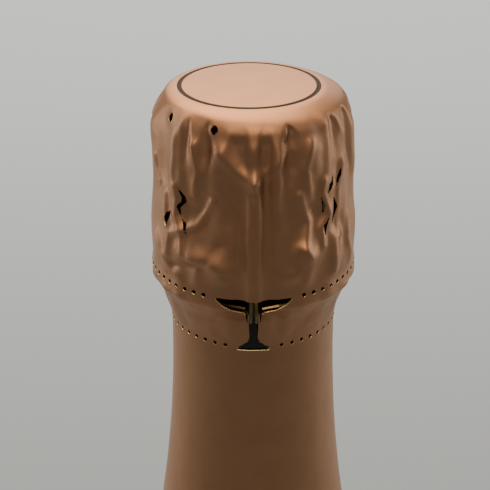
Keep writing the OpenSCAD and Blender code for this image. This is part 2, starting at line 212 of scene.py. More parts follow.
# Tinplate with a gold lacquer, stamped: smooth and glossy
TINPLATE = Finish("stamped_tinplate_gold_lacquer", "#d2ad62", "#c79f55", metallic=1.0, roughness=0.25,
                  mottle_mm=8.0, grain_mm=0.5, grain_height_mm=0.004, coat=0.3)
# Painted board of the floor: matt and plain
BOARD = Finish("painted_board_pale_grey", "#b9b9b4", "#b7b7b2", roughness=0.9, mottle_mm=400,
               grain_mm=5.0, grain_height_mm=0.0)
# Drawn steel wire, brass-plated: fine lines along the draw, and a brass colour darkened as painted shade of
# the wire under the collar
WIRE_WITH_PAINTED_SHADE = Finish("drawn_wire_brass_plated_painted_shade", "#94805a", "#75643f", metallic=1.0, roughness=0.32,
              mottle_mm=1.5, grain_mm=0.25, grain_height_mm=0.006)


@dataclass
class Opening:
    """A hole through the foil, as a closed outline of (millimetres round the bottle, depth)."""

    outline: np.ndarray

    def distance(self, s: np.ndarray, d: np.ndarray) -> tuple[np.ndarray, np.ndarray, np.ndarray]:
        """Measures points against the outline.

        Args:
            s: Places round the bottle in millimetres.
            d: Depths in millimetres.

        Returns:
            The signed distance, negative inside, and the nearest point on the outline.
        """
        best = np.full(s.shape, FAR)
        near_s, near_d = s.copy(), d.copy()
        inside = np.zeros(s.shape, bool)
        ends = np.roll(self.outline, -1, axis=0)
        for (ax, ay), (bx, by) in zip(self.outline, ends):
            t = ((s - ax) * (bx - ax) + (d - ay) * (by - ay)) / max((bx - ax) ** 2 + (by - ay) ** 2, 1e-12)
            t = np.clip(t, 0, 1)
            px, py = ax + t * (bx - ax), ay + t * (by - ay)
            gap = np.hypot(s - px, d - py)
            closer = gap < best
            best, near_s, near_d = (np.where(closer, a, b) for a, b in
                                    ((gap, best), (px, near_s), (py, near_d)))
            if ay != by:
                crosses = ((ay > d) != (by > d)) & (s < ax + (d - ay) * (bx - ax) / (by - ay))
                inside ^= crosses
        return np.where(inside, -best, best), near_s, near_d


def slit(points: Line, width: float) -> np.ndarray:
    """Outlines a tear that follows a bent line and is widest in its middle.

    Args:
        points: The line, as (millimetres round the bottle, depth).
        width: The tear's greatest width.

    Returns:
        The closed outline.
    """
    line = np.array(points, float)
    along = np.gradient(line, axis=0)
    normal = np.stack([-along[:, 1], along[:, 0]], 1) / np.linalg.norm(along, axis=1)[:, None]
    blunt = 0.12
    half = width / 2 * np.sin(np.linspace(blunt, math.pi - blunt, len(line)))[:, None]
    return np.concatenate([line + normal * half, (line - normal * half)[::-1]])


def line_distance(s: np.ndarray, d: np.ndarray, points: Line) -> np.ndarray:
    """Gives the distance of places on the foil from a bent line, all in millimetres.

    Args:
        s: Places round the bottle.
        d: Depths.
        points: The line, as (place round the bottle, depth).

    Returns:
        The distance at each place.
    """
    best = np.full(s.shape, FAR)
    for (ax, ay), (bx, by) in zip(points, points[1:]):
        t = np.clip(((s - ax) * (bx - ax) + (d - ay) * (by - ay)) / ((bx - ax) ** 2 + (by - ay) ** 2), 0, 1)
        best = np.minimum(best, np.hypot(s - ax - t * (bx - ax), d - ay - t * (by - ay)))
    return best


@dataclass(frozen=True)
class Crease:
    """A raised or sunk fold along a bent line, in millimetres."""

    points: Line
    height: float
    width: float


@dataclass(frozen=True)
class Dent:
    """A soft bulge or dent: its place in degrees and depth, its height and its two half-widths."""

    angle: float
    depth: float
    height: float
    across: float
    down: float


@dataclass
class FoilForm:
    """The foil's outer surface: an outline turned round the axis, with the folds pressed into it."""

    # Height of the flat top in metres, and depths of the foil's lower edge and of the cage's hooks
    top_z: float
    end_mm: float
    belt_mm: float
    # Depths of the two perforated lines
    upper_mm: float = 32.4
    lower_mm: float = 43.4
    # Millimetres round the bottle are measured on this radius
    ref_r: float = 17.0
    thickness_mm: float = 0.16
    ring_r: float = 12.5
    neck_r: float = 15.05
    neck_curve_r: float = 270.0
    neck_start_mm: float = 46.0
    # The top disc sits a little to the left of the axis, and the foil stands out on its left side
    lean_mm: float = 0.8
    lean_end: Span = (0.0, 1.9)
    left_bulge: float = 0.45
    bulge_start: Span = (0.6, 6.0)
    bulge_end: Span = (9.0, 18.0)
    # The rim sags unevenly, most at this depth
    sag_mm: float = 0.125
    sag_at: float = 1.6
    # Folds come in over these depths, and go between these heights above the tear band
    side_start: Span = (0.2, 3.0)
    band_calm: Span = (3.0, 0.6)
    # Waves come in over these distances from a perforated line, and more slowly on the skirt
    line_calm: Span = (0.2, 2.0)
    skirt_calm: float = 4.0
    # Pocketed flutes below the shoulder: how far out between them, how deep from there, where they end
    flutes: int = 19
    flute_out: float = 0.5
    flute_depth: float = 1.2
    flute_end: Span = (25.0, 30.0)
    # The ridge over the twisted shank of the belt wire's loop, with a shallow valley each side
    ridge_width: float = 1.25
    ridge_height: float = 0.7
    ridge_start: Span = (10.0, 15.0)
    valley_at: float = 2.6
    valley_width: float = 0.9
    valley_depth: float = 0.25
    valley_start: Span = (13.0, 19.0)
    # The legs of the cage hold the foil out, most at the top
    leg_angles: Sequence[float] = (-135.0, -45.0, 45.0, 135.0)
    leg_width: float = 1.4
    leg_start: Span = (0.6, 1.9)
    leg_end: Span = (34.0, 37.0)
    leg_lift_top: float = 0.4
    leg_lift_fall: float = 0.18
    leg_fall: Span = (3.0, 6.0)
    # The room for folds over the loop of the belt wire, near its top and lower down
    loop_room: float = 0.06
    loop_room_below: float = 0.36
    loop_below: Span = (3.0, 5.0)
    # How far the loop reaches to each side, and down
    loop_sides: Span = (5.2, 7.5)
    loop_end: Span = (10.6, 13.0)
    # Height of the small uneven waves above the tear band, on it, and below it
    crumple_cap: float = 0.2
    crumple_band: float = 0.3
    crumple_skirt: float = 0.03
    # The two vent holes: (degrees, depth), and the width of the smooth foil round them
    vents: Line = ((-58.0, 2.8), (-23.5, 2.7))
    vent_calm: float = 1.5
    # The outline from the edge of the top disc to the neck: (depth, radius)
    outline: Line = ((0.0, 12.52), (0.1, 13.3), (0.5, 14.3), (1.3, 15.45), (2.6, 16.35), (4.4, 16.8),
                     (9.7, 17.35), (18.3, 17.95), (26.5, 18.45), (31.0, 18.35), (33.2, 18.5),
                     (34.4, 18.5), (35.6, 17.8), (37.4, 16.8), (39.5, 16.15), (41.6, 15.5),
                     (43.55, 15.12), (46.0, 15.05))
    creases: Sequence[Crease] = (
        Crease(((-5.2, 6.4), (-3.2, 9.0), (-1.6, 10.0), (0.0, 11.0)), 0.5, 1.2),
        Crease(((5.4, 6.2), (3.2, 8.6), (1.5, 9.8), (0.0, 11.0)), 0.5, 1.2),
        Crease(((-10.4, 5.4), (-9.4, 10.0), (-10.4, 15.0)), 0.35, 0.7),
        Crease(((9.8, 4.8), (8.6, 9.4), (9.8, 15.4)), 0.35, 0.7),
        Crease(((-6.9, 15.0), (-9.6, 19.8), (-14.4, 22.2)), 0.42, 0.7),
        Crease(((7.6, 14.0), (9.4, 19.0), (8.0, 23.2)), 0.42, 0.8),
        Crease(((8.0, 23.2), (9.6, 26.6), (8.6, 31.0)), 0.35, 0.9),
        Crease(((-5.4, 22.6), (-8.2, 26.8), (-14.6, 28.8)), -0.35, 0.8),
        Crease(((-20.0, 24.6), (-16.6, 28.6), (-12.8, 31.2)), 0.4, 0.8),
        Crease(((19.6, 20.0), (18.2, 25.4), (19.6, 30.4)), 0.4, 0.8),
        Crease(((-14.4, 14.0), (-13.9, 16.0), (-14.2, 19.0), (-12.4, 21.6), (-12.2, 25.5)), 0.5, 0.8),
        Crease(((-17.4, 16.0), (-17.0, 20.0), (-15.6, 23.0), (-16.0, 27.0)), 0.45, 0.8),
        Crease(((-22.0, 11.0), (-21.4, 13.2), (-19.9, 15.0)), 0.35, 0.6),
        Crease(((12.4, 12.4), (12.0, 14.6), (13.4, 18.6), (11.6, 20.6), (11.8, 24.0)), 0.4, 0.7),
        Crease(((17.6, 10.5), (16.0, 14.6), (15.6, 19.0), (15.8, 23.0)), 0.4, 0.8),
        Crease(((14.7, 23.4), (14.3, 26.7), (14.2, 30.4)), 0.6, 1.1),
        Crease(((-9.2, 28.0), (-10.2, 31.5)), 0.3, 0.9),
        Crease(((-5.2, 31.6), (-2.6, 27.0), (-2.2, 16.0)), -0.12, 0.7),
        Crease(((5.2, 31.6), (2.8, 27.0), (2.3, 16.0)), -0.12, 0.7),
    )
    dents: Sequence[Dent] = (
        Dent(0, 7.4, -0.12, 2.4, 1.8),
        Dent(-34, 17.6, -0.95, 3.4, 3.4),
        Dent(-29, 25.6, 1.25, 3.8, 1.9),
        Dent(-17, 27.4, 0.7, 2.6, 1.7),
        Dent(-16, 16.5, -0.3, 2.6, 4.0),
        Dent(17, 17.5, -0.35, 2.6, 5.0),
        Dent(35, 17.6, -0.85, 2.6, 3.4),
        Dent(29, 24.8, 1.1, 2.4, 2.2),
        Dent(21, 28.2, 0.6, 2.2, 1.6),
        Dent(52, 21.0, -0.45, 2.4, 2.4),
        Dent(56, 27.5, 0.5, 3.4, 3.2),
        Dent(72, 17.5, -0.4, 3.0, 4.0),
        Dent(-66, 14.0, -0.35, 3.0, 4.0),
        Dent(-62, 26.0, 0.45, 2.6, 2.8),
        Dent(100, 20.0, -0.5, 3.0, 5.0),
        Dent(118, 26.0, 0.4, 3.0, 3.0),
        Dent(-98, 19.0, -0.45, 3.0, 5.0),
        Dent(-115, 26.5, 0.4, 3.0, 2.6),
        Dent(165, 18.0, -0.5, 3.4, 4.6),
        Dent(-160, 24.0, 0.35, 3.4, 3.0),
    )

    def __post_init__(self) -> None:
        """Works out the slopes of the outline."""
        self.line = np.array(self.outline)
        steps = np.hypot(*np.diff(self.line, axis=0).T)
        self.run = np.concatenate([[0.0], np.cumsum(steps)])
        self.slopes = np.gradient(self.line, self.run, axis=0)

    def outline_at(self, run: np.ndarray) -> np.ndarray:
        """Follows the outline on smooth curves through its points.

        Args:
            run: Lengths along the outline in millimetres.

        Returns:
            One row of (depth, radius) for each length.
        """
        i = np.clip(np.searchsorted(self.run, run, side="right") - 1, 0, len(self.run) - 2)
        h = (self.run[i + 1] - self.run[i])[:, None]
        t = ((run - self.run[i])[:, None]) / h
        return ((1 + 2 * t) * (1 - t) ** 2 * self.line[i] + t * (1 - t) ** 2 * h * self.slopes[i]
                + t * t * (3 - 2 * t) * self.line[i + 1] + t * t * (t - 1) * h * self.slopes[i + 1])

    def rows(self, start_mm: float, end_mm: float, step: float) -> np.ndarray:
        """Gives rows of (depth, radius) between two depths, an even step apart.

        Args:
            start_mm: Depth of the first row.
            end_mm: Depth of the last row.
            step: About the distance between rows.

        Returns:
            One row for each line of the mesh.
        """
        fine_step, flare_step, tiny = 0.02, 0.5, 1e-9
        fine = self.outline_at(np.arange(0.0, self.run[-1], fine_step))
        below = np.arange(self.neck_start_mm, self.end_mm + flare_step, flare_step)
        flare = self.neck_r + self.neck_curve_r - np.sqrt(self.neck_curve_r ** 2
                                                          - (below - self.neck_start_mm) ** 2)
        whole = np.concatenate([fine, np.stack([below, flare], 1)])
        whole[:, 0] = np.maximum.accumulate(whole[:, 0] + np.arange(len(whole)) * tiny)
        kept = whole[(whole[:, 0] > start_mm) & (whole[:, 0] < end_mm)]
        ends = [[depth, np.interp(depth, whole[:, 0], whole[:, 1])] for depth in (start_mm, end_mm)]
        kept = np.concatenate([[ends[0]], kept, [ends[1]]])
        run = np.concatenate([[0.0], np.cumsum(np.hypot(*np.diff(kept, axis=0).T))])
        count = max(int(round(run[-1] / step)), 2)
        at = np.linspace(0, run[-1], count + 1)
        return np.stack([np.interp(at, run, kept[:, k]) for k in (0, 1)], 1)

    def radius_at(self, depth: float | np.ndarray) -> float | np.ndarray:
        """Gives the outline's radius without folds.

        Args:
            depth: One depth or several, in millimetres.

        Returns:
            The radius at each, in millimetres.
        """
        margin, step = 1.0, 0.2
        rows = self.rows(np.min(depth) - margin, np.max(depth) + margin, step)
        return np.interp(depth, *rows.T)

    def fluted(self, angle: np.ndarray, depth: np.ndarray) -> np.ndarray:
        """Gives the push of the flutes, which start under the shoulder and fade further down.

        Args:
            angle: Places round the bottle in degrees.
            depth: Depths in millimetres.

        Returns:
            The push at each place.
        """
        # The flutes wander from even places, start higher where they are deep, and fade at uneven depths
        wander = 5.0 * np.sin(np.radians(angle * 3 + 40)) + 3.0 * np.sin(np.radians(angle * 7 - 70))
        wave = 0.5 - 0.5 * np.cos(np.radians((angle + wander) * self.flutes))
        start, reach = 1.3 + 0.9 * (1 - wave), 1.2 + 2.8 * (1 - wave)
        uneven = np.sin(np.radians(angle * 5 + 20)) + 0.6 * np.sin(np.radians(angle * 11))
        faded = 1 - 0.75 * smoothstep(depth, 7 + 3 * uneven, 13 + 4 * uneven)
        return (self.flute_out - self.flute_depth * wave) * smoothstep(depth, start, start + reach) \
            * faded * (1 - smoothstep(depth, *self.flute_end))

    def ridged(self, s: np.ndarray, depth: np.ndarray) -> np.ndarray:
        """Gives the push of the ridge at the front, which ends at the belt wire.

        Args:
            s: Places round the bottle in millimetres.
            depth: Depths in millimetres.

        Returns:
            The push at each place.
        """
        ridge = np.exp(-(s / self.ridge_width) ** 4) * smoothstep(depth, *self.ridge_start)
        off_valley = (np.abs(s) - self.valley_at) / self.valley_width
        valley = np.exp(-off_valley ** 2) * smoothstep(depth, *self.valley_start)
        down_to_belt = 1 - smoothstep(depth, self.upper_mm + 0.3, self.belt_mm + 0.6)
        return (self.ridge_height * ridge - self.valley_depth * valley) * down_to_belt

    def over_legs(self, push: np.ndarray, angle: np.ndarray, depth: np.ndarray) -> np.ndarray:
        """Holds the push outside the legs of the cage.

        Args:
            push: The push so far at each place.
            angle: Places round the bottle in degrees.
            depth: Depths in millimetres.

        Returns:
            The push with the legs under it.
        """
        lift = self.leg_lift_top - self.leg_lift_fall * smoothstep(depth, *self.leg_fall)
        flattened = 0.8
        for leg in self.leg_angles:
            gap = np.radians((angle - leg + 180) % 360 - 180) * self.ref_r
            over = np.exp(-(gap / self.leg_width) ** 2) * smoothstep(depth, *self.leg_start) \
                * (1 - smoothstep(depth, *self.leg_end))
            push = push * (1 - flattened * over) + lift * over
        return push

    def over_loop(self, push: np.ndarray, s: np.ndarray, depth: np.ndarray) -> np.ndarray:
        """Holds the push outside the folded loop of the belt wire.

        Args:
            push: The push so far at each place.
            s: Places round the bottle in millimetres.
            depth: Depths in millimetres.

        Returns:
            The push with the loop under it.
        """
        free, blend = 1.5, 0.01
        least = -self.loop_room - self.loop_room_below * smoothstep(depth, *self.loop_below) \
            - free * smoothstep(np.abs(s), *self.loop_sides) - free * smoothstep(depth, *self.loop_end)
        return 0.5 * (push + least + np.sqrt((push - least) ** 2 + blend))

    def folds(self, angle: np.ndarray, depth: np.ndarray) -> np.ndarray:
        """Gives how far the folds push the surface out, in millimetres.

        Args:
            angle: Places round the bottle in degrees.
            depth: Depths in millimetres.

        Returns:
            The push at each place.
        """
        s = np.radians(angle) * self.ref_r
        push = self.over_legs(self.fluted(angle, depth) + self.ridged(s, depth), angle, depth)
        above_band = 1 - smoothstep(depth, *(self.upper_mm - height for height in self.band_calm))
        for crease in self.creases:
            gap = line_distance(s, depth, crease.points) / crease.width
            push += crease.height * np.exp(-gap ** 2) * above_band
        for dent in self.dents:
            across = np.radians((angle - dent.angle + 180) % 360 - 180) * self.ref_r / dent.across
            down = (depth - dent.depth) / dent.down
            push += dent.height * np.exp(-across ** 2 - down ** 2) * above_band
        push = self.over_loop(push, s, depth)
        for vent_angle, vent_depth in self.vents:
            gap = np.hypot(s - np.radians(vent_angle) * self.ref_r, depth - vent_depth)
            push *= 1 - np.exp(-(gap / self.vent_calm) ** 2)
        return push

    def crumple(self, places: np.ndarray) -> np.ndarray:
        """Gives small uneven waves, taller than wide and about a unit high.

        Args:
            places: Points on the foil in millimetres.

        Returns:
            The height at each point.
        """
        tall, fine, elsewhere, share = Vector((0.3, 0.3, 0.13)), 0.6, Vector((9, 4, 2)), 0.25
        return np.array([noise.noise(Vector(p) * tall) + share * noise.noise(Vector(p) * fine + elsewhere)
                         for p in places])

    def surface(self, angle: np.ndarray, depth: np.ndarray, radius: np.ndarray) -> np.ndarray:
        """Gives points of the finished outer surface.

        Args:
            angle: Places round the bottle in degrees.
            depth: Depths in millimetres.
            radius: The outline's radius at each place in millimetres.

        Returns:
            Points in metres.
        """
        a = np.radians(angle)
        flat = np.stack([radius * np.sin(a), -radius * np.cos(a), -depth], 1)
        lean = self.lean_mm * (1 - smoothstep(depth, *self.lean_end))
        on_side = smoothstep(depth, *self.side_start)
        to_line = np.minimum(np.abs(depth - self.upper_mm), np.abs(depth - self.lower_mm))
        calm = smoothstep(to_line, *self.line_calm)
        below = np.where(depth < self.lower_mm, self.crumple_band, self.crumple_skirt)
        rough = np.where(depth < self.upper_mm, self.crumple_cap, below)
        calm_skirt = np.where(depth > self.lower_mm,
                              smoothstep(depth, self.lower_mm, self.lower_mm + self.skirt_calm), 1.0)
        push = on_side * (self.folds(angle, depth) + rough * calm * calm_skirt * self.crumple(flat))
        left = np.clip(-np.sin(a), 0.0, 1.0) ** 1.5
        bulge = self.left_bulge * left * smoothstep(depth, *self.bulge_start) \
            * (1 - smoothstep(depth, *self.bulge_end))
        r = radius + push + bulge
        near_sag = smoothstep(-np.abs(depth - self.sag_at), -self.sag_at, 0.0)
        sag = self.sag_mm * near_sag * np.sin(np.radians(angle * 2 + 30))
        return np.stack([r * np.sin(a) - lean, -r * np.cos(a), self.top_z / MM - depth - sag], 1) * MM


def plain_mesh(piece: bpy.types.Object) -> None:
    """Applies a piece's modifiers into its mesh and takes them off.

    Args:
        piece: An object with modifiers.
    """
    bpy.context.view_layer.update()
    evaluated = piece.evaluated_get(bpy.context.evaluated_depsgraph_get())
    mesh = bpy.data.meshes.new_from_object(evaluated)
    piece.modifiers.clear()
    piece.data = mesh
    mesh.name = piece.name


def new_tree(name: str, inputs: dict[str, str]) -> bpy.types.NodeTree:
    """Starts a geometry node tree that gives one geometry.

    Args:
        name: The tree's name.
        inputs: The type of each input socket, by its name.

    Returns:
        The new tree.
    """
    tree = bpy.data.node_groups.new(name, "GeometryNodeTree")
    for label, kind in inputs.items():
        tree.interface.new_socket(label, in_out="INPUT", socket_type=kind)
    tree.interface.new_socket("Geometry", in_out="OUTPUT", socket_type="NodeSocketGeometry")
    return tree


def grow(piece: bpy.types.Object, tree: bpy.types.NodeTree, values: dict[str, Any]) -> None:
    """Runs a tree on a piece and keeps the result as the piece's plain mesh.

    Args:
        piece: The object that the tree starts from.
        tree: The tree.
        values: The value of each input, by its name.
    """
    modifier = piece.modifiers.new(tree.name, "NODES")
    modifier.node_group = tree
    for item in tree.interface.items_tree:
        if item.in_out == "INPUT" and item.name in values:
            modifier[item.identifier] = values[item.name]
    plain_mesh(piece)


def shown(name: str, mesh: bpy.types.Mesh, materials: Sequence[bpy.types.Material]) -> bpy.types.Object:
    """Puts a mesh in the scene.

    Args:
        name: The object's name.
        mesh: The mesh.
        materials: The materials that it gets, in their order.

    Returns:
        The new object.
    """
    piece = bpy.data.objects.new(name, mesh)
    for material in materials:
        mesh.materials.append(material)
    bpy.context.collection.objects.link(piece)
    return piece


@dataclass
class FoilCapsule:
    """The foil over the cork, cage and neck: cap, top disc, tear band and neck skirt."""

    form: FoilForm
    lacquer: bpy.types.Material
    edge: bpy.types.Material
    groove_shade: bpy.types.Material
    # Perforations: their radius, how many in a turn, and the degrees each side of the front without any
    perf_r: float = 0.42
    perf_upper: int = 58
    perf_lower: int = 47
    plain_upper: float = 25.0
    plain_lower: float = 15.0
    # The burr under a hole: its thickness as a radius, and its arc's start and sweep in degrees
    burr_r: float = 0.075
    burr_arc: tuple[float, float] = (195.0, 150.0)
    vent_r: float = 0.72
    # The ring pressed into the top disc with its dark band of painted groove shade, and the disc's low dome
    # and faint dimples
    ring_in_mm: float = 11.62
    ring_out_mm: float = 12.46
    ring_press_mm: float = 0.14
    ring_press_width: float = 0.16
    dome_mm: float = 0.4
    dimple_mm: float = 0.06
    dimple_scale: float = 0.22
    disc_sides: int = 144
    # Rings of points out to the dark ring, and across it
    disc_rings: tuple[int, int] = (39, 4)
    # How fine the sheets are: millimetres between rows, and columns in a turn
    cap_grid: tuple[float, int] = (0.33, 420)
    band_grid: tuple[float, int] = (0.22, 480)
    skirt_grid: tuple[float, int] = (0.55, 360)
    # Radius of the pale lip on cut edges, and which points of the opening it runs along
    lip_r: float = 0.09
    bowl_lip: tuple[int, int] = (2, 7)
    foot_lip: tuple[int, int] = (-3, -1)
    # The glass-shaped opening, right half, as (millimetres from the middle, depth below the upper line)
    cup: Line = ((0.0, -0.05), (6.0, -0.05), (6.2, 0.35), (5.2, 1.25), (3.4, 2.1), (1.6, 2.5), (1.3, 3.2),
                 (1.25, 5.0), (0.84, 5.5), (0.8, 8.9), (1.3, 9.9), (3.1, 11.2), (3.2, 11.75), (0.0, 11.75))
    tears: Sequence[tuple[Line, float]] = (
        (((-13.5, 13.6), (-12.6, 15.4), (-12.5, 16.2), (-13.4, 17.4), (-13.0, 19.0)), 0.8),
        (((-12.9, 19.2), (-11.9, 20.4), (-11.5, 21.9)), 0.6),
        (((-15.4, 18.6), (-16.1, 19.8), (-16.4, 21.0), (-16.1, 22.4)), 1.15),
        (((16.9, 11.2), (16.2, 12.8), (15.1, 14.4)), 0.7),
        (((14.7, 12.2), (14.1, 13.6), (13.2, 15.0)), 1.15),
        (((11.7, 15.0), (12.3, 16.8), (12.2, 18.8)), 0.5),
        (((14.6, 16.0), (14.9, 17.8), (14.3, 20.8)), 0.95),
        (((13.3, 19.0), (12.5, 20.4), (12.3, 22.2)), 0.95),
    )
    pieces: list[bpy.types.Object] = field(default_factory=list)

    def round_hole(self, s: float, d: float, r: float, sides: int = 14) -> Opening:
        """Gives a round opening at a place on the foil."""
        turns = np.linspace(0, 2 * math.pi, sides, endpoint=False)
        return Opening(np.stack([s + r * np.cos(turns), d + r * np.sin(turns)], 1))

    def perforations(self, depth: float, count: int, plain: float) -> list[Opening]:
        """Gives the holes of one perforated line, with none near the front.

        Args:
            depth: Depth of the line in millimetres.
            count: Holes in a full turn.
            plain: Degrees each side of the front without holes.

        Returns:
            One opening for each hole.
        """
        angles = ((i + 0.5) * 360 / count for i in range(count))
        return [self.round_hole(math.radians((a + 180) % 360 - 180) * self.form.ref_r, depth, self.perf_r)
                for a in angles if plain < a < 360 - plain]

    def cut_out(self) -> Opening:
        """Gives the glass-shaped opening at the front.

        Returns:
            Its whole outline, closed from the right half.
        """
        right = np.array(self.cup) + (0.0, self.form.upper_mm)
        left = right[::-1] * (-1, 1)
        return Opening(np.concatenate([right, left[1:-1]]))

    def sheet(self, name: str, start: float, end: float, fineness: tuple[float, int],
              openings: Sequence[Opening]) -> bpy.types.Object:
        """Builds one piece of foil between two depths, with its openings and its thickness.

        Args:
            name: The piece's name.
            start: Depth of its upper edge in millimetres.
            end: Depth of its lower edge.
            fineness: Distance between rows, and the number of columns round the bottle.
            openings: The holes through it.

        Returns:
            The finished object.
        """
        step, columns = fineness
        rows = self.form.rows(start, end, step)
        angle = np.tile(np.linspace(-180, 180, columns, endpoint=False), len(rows))
        row_depth, row_radius = (np.repeat(rows[:, k], columns) for k in (0, 1))
        depth = row_depth.copy()
        around = np.radians(angle) * self.form.ref_r
        cell = max(step, 2 * math.pi * self.form.ref_r / columns)
        margin, spare = 2 * cell, 3.0
        on_end_row = (row_depth <= start) | (row_depth >= end)
        signed = np.full(angle.shape, FAR)
        for opening in openings:
            reach = np.ptp(opening.outline[:, 0]) / 2 + margin + spare
            low, high = opening.outline[:, 1].min() - margin, opening.outline[:, 1].max() + margin
            near = np.nonzero((np.abs(around - opening.outline[:, 0].mean()) < reach)
                              & (depth > low) & (depth < high))[0]
            gap, to_s, to_d = opening.distance(around[near], depth[near])
            # Points close to the outline move onto it, but keep their depth on the piece's own edges
            snapped = np.abs(gap) < 0.5 * cell
            moved = near[snapped]
            around[moved] = to_s[snapped]
            depth[moved] = np.where(on_end_row[moved], depth[moved], to_d[snapped])
            signed[near] = np.where(snapped, 0.0, np.minimum(signed[near], gap))
        radius = np.where(depth == row_depth, row_radius, np.interp(depth, rows[:, 0], rows[:, 1]))
        points = self.form.surface(np.degrees(around / self.form.ref_r), depth, radius)
        grid = np.arange(len(points)).reshape(len(rows), columns)
        beside = np.roll(grid, -1, axis=1)
        quads = np.stack([grid[1:], beside[1:], beside[:-1], grid[:-1]], -1).reshape(-1, 4)
        quads = quads[~(signed[quads] <= 0).all(1)]
        used, new = np.unique(quads, return_inverse=True)
        mesh = bpy.data.meshes.new(name)
        mesh.from_pydata(points[used].tolist(), [], new.reshape(-1, 4).tolist())
        piece = shown(name, mesh, (self.lacquer, self.edge))
        self.thicken(piece, rim_material=1)
        return piece

    def thicken(self, piece: bpy.types.Object, rim_material: int = 0) -> None:
        """Gives a sheet its wall on the inside, and shades it smooth.

        Args:
            piece: The sheet.
            rim_material: How many places after its own material its cut edge's material comes.
        """
        wall = piece.modifiers.new("wall", "SOLIDIFY")
        wall.thickness = self.form.thickness_mm * MM
        wall.offset = -1
        wall.material_offset_rim = rim_material
        plain_mesh(piece)
        self.smooth(piece)

    def smooth(self, piece: bpy.types.Object, angle: float = 40.0) -> None:
        """Shades a piece smooth but for edges sharper than an angle in degrees."""
        piece.data.shade_smooth()
        piece.data.set_sharp_from_angle(angle=math.radians(angle))

    def top_disc(self) -> bpy.types.Object:
        """Builds the top disc: a low dome with a line pressed in near its edge, painted dark as the
        groove's shade.

        Returns:
            The finished object.
        """
        edge_r, lean = self.form.ring_r + 0.02, self.form.lean_mm
        inside, across = self.disc_rings
        radii = np.concatenate([np.linspace(0.0, self.ring_in_mm, inside + 1)[1:],
                                np.linspace(self.ring_in_mm, self.ring_out_mm, across + 1)[1:], [edge_r]])
        ring_mid_r, same = (self.ring_in_mm + self.ring_out_mm) / 2, 1e-6
        mesh = bpy.data.meshes.new("foil_top_disc_pressed")
        bm = bmesh.new()
        middle = bm.verts.new((-lean * MM, 0, self.form.top_z + self.dome_mm * MM))
        rings = []
        for r in radii:
            press = self.ring_press_mm * math.exp(-((r - ring_mid_r) / self.ring_press_width) ** 2)
            ring = []
            for k in range(self.disc_sides):
                a = 2 * math.pi * k / self.disc_sides
                x, y = r * math.sin(a), -r * math.cos(a)
                uneven = noise.noise(Vector((x, y, 3.0)) * self.dimple_scale)
                dimple = self.dimple_mm * uneven * (1 - (r / edge_r) ** 4)
                z = self.dome_mm * (1 - (r / edge_r) ** 2) - press + dimple
                ring.append(bm.verts.new(((x - lean) * MM, y * MM, self.form.top_z + z * MM)))
            rings.append(ring)
        for k in range(self.disc_sides):
            after = (k + 1) % self.disc_sides
            bm.faces.new((middle, rings[0][k], rings[0][after]))
            for inner, outer, r in zip(rings, rings[1:], radii):
                face = bm.faces.new((inner[k], outer[k], outer[after], inner[after]))
                # Faces across the pressed ring take the dark matt material: painted shade of the groove
                face.material_index = 2 if self.ring_in_mm - same <= r < self.ring_out_mm - same else 0
        bm.to_mesh(mesh)
        bm.free()
        piece = shown(mesh.name, mesh, (self.lacquer, self.edge, self.groove_shade))
        self.thicken(piece)
        return piece

    def burrs(self, name: str, depth: float, count: int, plain: float) -> bpy.types.Object:
        """Builds the pale burrs that the punch left on the lower edges of a perforated line.

        Args:
            name: The name of the piece.
            depth: Depth of the line in millimetres.
            count: Holes in a full turn.
            plain: Degrees each side of the front without holes.

        Returns:
            The burrs as one mesh.
        """
        number = "NodeSocketFloat"
        tree = new_tree(name, {"Count": "NodeSocketInt", "Ring Radius": number, "Height": number,
                               "Plain Angle": number, "Hole Radius": number, "Burr Radius": number,
                               "Material": "NodeSocketMaterial"})
        given = add(tree, "NodeGroupInput").outputs
        scalar, times, turn = "ShaderNodeMath", {"operation": "MULTIPLY"}, 2 * math.pi
        index = add(tree, "GeometryNodeInputIndex").outputs[0]
        shifted = add(tree, scalar, {"operation": "ADD"}, i0=index, i1=0.5).outputs[0]
        share = add(tree, scalar, {"operation": "DIVIDE"}, i0=shifted, i1=given["Count"]).outputs[0]
        angle = add(tree, scalar, times, i0=share, i1=turn).outputs[0]
        sine = add(tree, scalar, {"operation": "SINE"}, i0=angle).outputs[0]
        cosine = add(tree, scalar, {"operation": "COSINE"}, i0=angle).outputs[0]
        forward = add(tree, scalar, times, i0=given["Ring Radius"], i1=-1.0).outputs[0]
        place = add(tree, "ShaderNodeCombineXYZ", Z=given["Height"],
                    X=add(tree, scalar, times, i0=sine, i1=given["Ring Radius"]).outputs[0],
                    Y=add(tree, scalar, times, i0=cosine, i1=forward).outputs[0]).outputs[0]
        points = add(tree, "GeometryNodePoints", Count=given["Count"], Position=place).outputs[0]
        last = add(tree, scalar, {"operation": "SUBTRACT"}, i0=turn, i1=given["Plain Angle"]).outputs[0]
        after = add(tree, scalar, {"operation": "GREATER_THAN"}, i0=angle, i1=given["Plain Angle"])
        before = add(tree, scalar, {"operation": "LESS_THAN"}, i0=angle, i1=last)
        punched = add(tree, scalar, times, i0=after.outputs[0], i1=before.outputs[0]).outputs[0]
